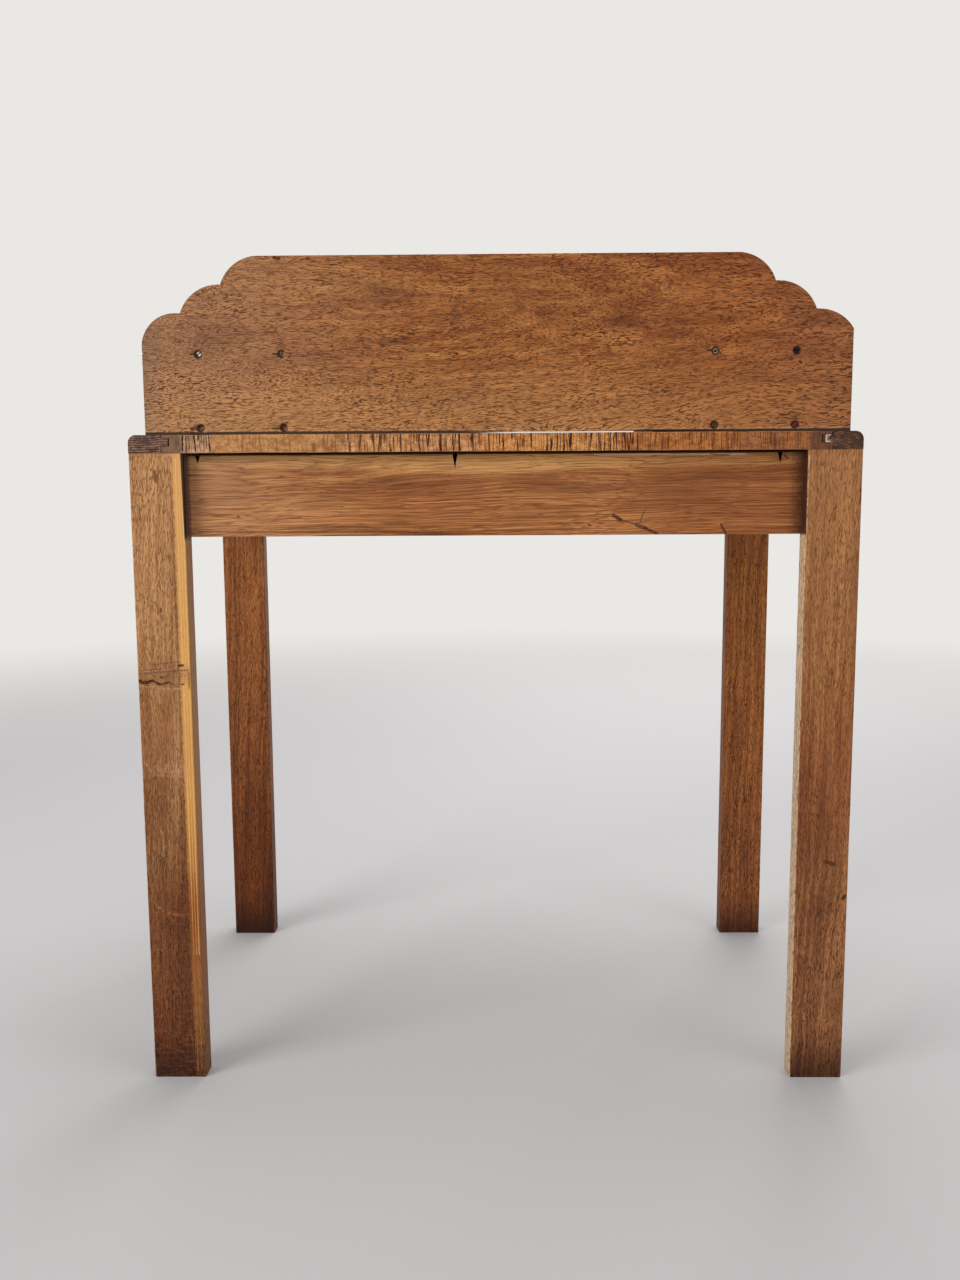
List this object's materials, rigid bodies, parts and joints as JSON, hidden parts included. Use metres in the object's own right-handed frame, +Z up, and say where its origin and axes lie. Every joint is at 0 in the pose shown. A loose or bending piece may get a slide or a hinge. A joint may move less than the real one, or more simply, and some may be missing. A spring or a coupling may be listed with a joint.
{
  "type": "console desk",
  "caption": "Small oak console desk with flat board legs, a stepped backboard and two small drawer cases on the desktop.",
  "frame": {"origin": "on the floor under the middle of the desk's footprint", "axes": "+Z up, +X to the right as seen from the rear, +Y towards the sitter's side, where the drawers open"},
  "size_m": [0.8, 0.48, 0.93],
  "materials": {
    "oak_legs": "old oiled oak, satin, darker towards the floor",
    "oak_rails": "old oiled oak, satin, long streaks",
    "oak_top": "old oiled oak, satin, raw end grain at the rear",
    "oak_edging": "dark grey-brown oak, satin",
    "oak_backboard": "quartersawn flecked oak, oiled, satin",
    "oak_cases": "oiled oak, satin",
    "secondary_wood": "plain unfinished wood",
    "turned_knobs": "turned oak, polished by use",
    "steel_screws": "aged, dull"
  },
  "bodies": {
    "desk": {"leg_back_left": "oak_legs", "leg_back_right": "oak_legs", "leg_front_left": "oak_legs", "leg_front_right": "oak_legs", "rail_back": "oak_rails", "rail_front": "oak_rails", "rail_left": "oak_rails", "rail_right": "oak_rails", "corner_block_back_left": "secondary_wood", "corner_block_back_right": "secondary_wood", "corner_block_front_left": "secondary_wood", "corner_block_front_right": "secondary_wood", "top_board_1": "oak_top", "top_board_2": "oak_top", "top_board_3": "oak_top", "top_board_4": "oak_top", "top_board_5": "oak_top", "top_board_6": "oak_top", "edge_strip_left": "oak_edging", "edge_strip_right": "oak_edging", "edge_strip_front": "oak_edging", "backboard": "oak_backboard", "backboard_screws": "steel_screws", "rail_screws": "steel_screws", "top_screws": "steel_screws", "case_left_bottom": "oak_cases", "case_left_top": "oak_cases", "case_left_outer_side": "oak_cases", "case_left_inner_side": "oak_cases", "case_right_bottom": "oak_cases", "case_right_top": "oak_cases", "case_right_outer_side": "oak_cases", "case_right_inner_side": "oak_cases", "drawer_stops_left": "secondary_wood", "drawer_stops_right": "secondary_wood"},
    "drawer_left": {"drawer_left_front": "oak_cases", "drawer_left_outer_side": "secondary_wood", "drawer_left_inner_side": "secondary_wood", "drawer_left_back": "secondary_wood", "drawer_left_bottom": "secondary_wood", "drawer_left_knob": "turned_knobs"},
    "drawer_right": {"drawer_right_front": "oak_cases", "drawer_right_outer_side": "secondary_wood", "drawer_right_inner_side": "secondary_wood", "drawer_right_back": "secondary_wood", "drawer_right_bottom": "secondary_wood", "drawer_right_knob": "turned_knobs"}
  },
  "joints": [
    {"name": "drawer_left_slide", "type": "slide", "parent": "desk", "child": "drawer_left", "axis": [0, 1, 0], "range_m": [0, 0.13]},
    {"name": "drawer_right_slide", "type": "slide", "parent": "desk", "child": "drawer_right", "axis": [0, 1, 0], "range_m": [0, 0.13]}
  ]
}
